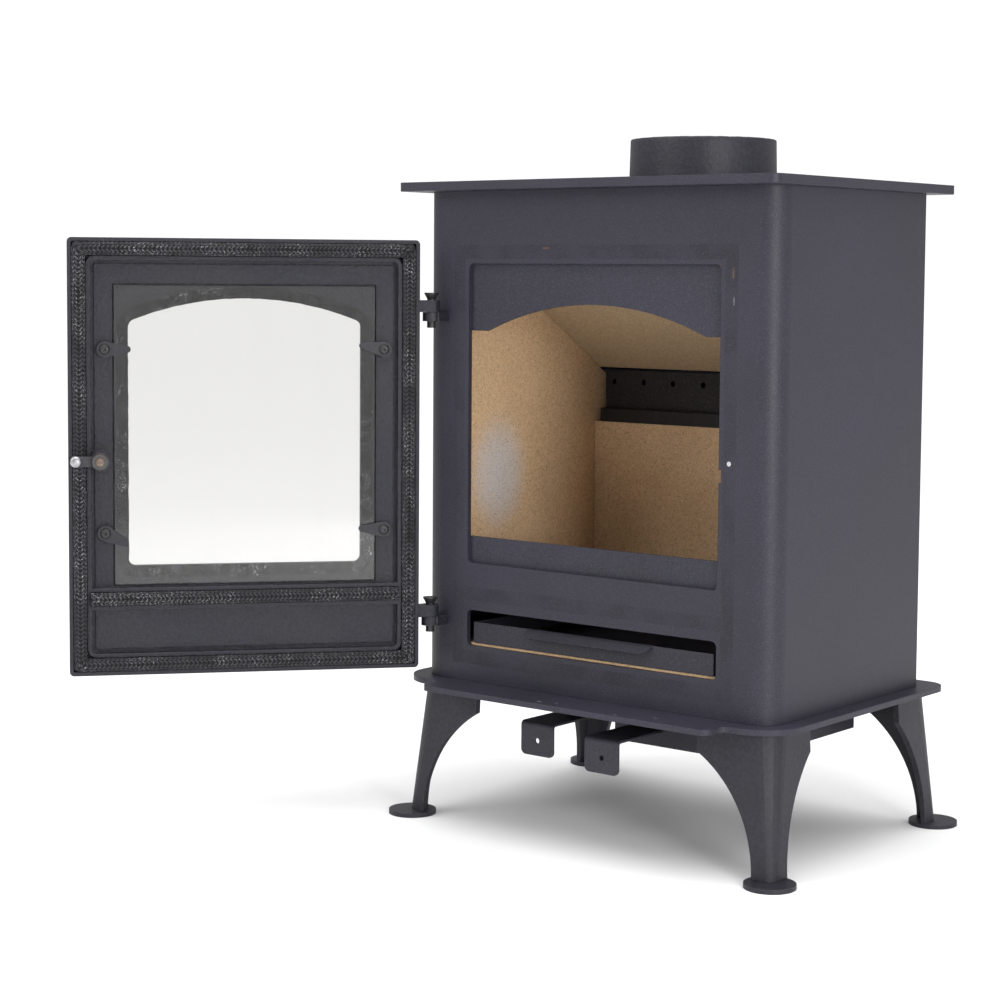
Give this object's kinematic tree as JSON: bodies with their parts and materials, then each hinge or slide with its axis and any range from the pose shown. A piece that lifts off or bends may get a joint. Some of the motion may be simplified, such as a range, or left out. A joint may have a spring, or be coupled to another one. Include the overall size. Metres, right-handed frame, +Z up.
{
  "type": "wood burning stove",
  "caption": "Steel wood burning stove on splayed cast legs, with a flue collar, open arched-window door, brick-lined fire chamber, ash pan and air sliders.",
  "frame": {"origin": "on the hearth, under the centre of the body (not counting the open door)", "axes": "+Z up, the door side faces -Y, +X to the right as seen from the front"},
  "size_m": [0.6088, 0.5747, 0.627],
  "materials": {
    "stove_paint": "matt heat-proof paint",
    "collar_paint": "matt heat-proof paint, rough edge",
    "inner_sheet": "matt heat-proof paint",
    "leg_cast": "matt painted cast",
    "door_cast": "matt painted cast, sand texture",
    "grate_cast": "bare cast",
    "vermiculite": "matt pressed vermiculite",
    "baffle_vermiculite": "matt pressed vermiculite",
    "rope_black": "knitted glass fibre rope",
    "gasket_tape": "woven glass fibre tape",
    "clear_glass": "clear ceramic glass",
    "dark_steel": "blackened steel",
    "bright_zinc": "zinc plated",
    "spindle_steel": "oxidised steel",
    "handle_black": "satin black"
  },
  "bodies": {
    "stove": {"body_shell": "stove_paint", "top_plate": "stove_paint", "base_plate": "stove_paint", "throat_plate": "stove_paint", "log_guard": "stove_paint", "flue_collar": "collar_paint", "back_panel": "inner_sheet", "floor_panel": "inner_sheet", "heat_shield": "inner_sheet", "rear_air_box": "inner_sheet", "deck_supports": "inner_sheet", "grate_deck": "inner_sheet", "pan_rails": "inner_sheet", "air_duct": "inner_sheet", "primary_throat": "inner_sheet", "leg_front_left": "leg_cast", "leg_front_right": "leg_cast", "leg_rear_left": "leg_cast", "leg_rear_right": "leg_cast", "foot_discs": "leg_cast", "hinge_lugs": "leg_cast", "fire_grate": "grate_cast", "side_brick_left": "vermiculite", "side_brick_right": "vermiculite", "back_brick": "vermiculite", "ash_floor_board": "vermiculite", "baffle_board": "baffle_vermiculite", "leg_bolts": "dark_steel", "base_bolts": "dark_steel", "hinge_pins": "dark_steel", "shield_spacers": "bright_zinc", "shield_screws": "bright_zinc", "catch_plate": "bright_zinc"},
    "door": {"door_casting": "door_cast", "door_rope": "rope_black", "cross_rope": "rope_black", "window_glass": "clear_glass", "glass_gasket": "gasket_tape", "glass_clips": "door_cast", "clip_screws": "dark_steel"},
    "latch": {"latch_spindle": "spindle_steel", "latch_arm": "door_cast", "latch_stud": "bright_zinc", "latch_nut": "dark_steel", "door_handle": "handle_black", "handle_grip": "handle_black", "handle_rose": "handle_black"},
    "pan": {"ash_pan": "inner_sheet"},
    "slider_left": {"air_slider_left": "inner_sheet"},
    "slider_right": {"air_slider_right": "inner_sheet"}
  },
  "joints": [
    {"name": "door_hinge", "type": "hinge", "parent": "stove", "child": "door", "pos_m": [-0.1685, -0.138, 0.33], "axis": [0, 0, -1], "range_deg": [-130, 20]},
    {"name": "latch_turn", "type": "hinge", "parent": "door", "child": "latch", "pos_m": [-0.35973, -0.3659, 0.336], "axis": [0.766, -0.6428, 0], "range_deg": [0, 90]},
    {"name": "ash_pan_slide", "type": "slide", "parent": "stove", "child": "pan", "axis": [0, -1, 0], "range_m": [0, 0.2]},
    {"name": "primary_air_slide", "type": "slide", "parent": "stove", "child": "slider_left", "axis": [0, -1, 0], "range_m": [-0.005, 0.03]},
    {"name": "secondary_air_slide", "type": "slide", "parent": "stove", "child": "slider_right", "axis": [0, -1, 0], "range_m": [-0.024, 0.01]}
  ]
}
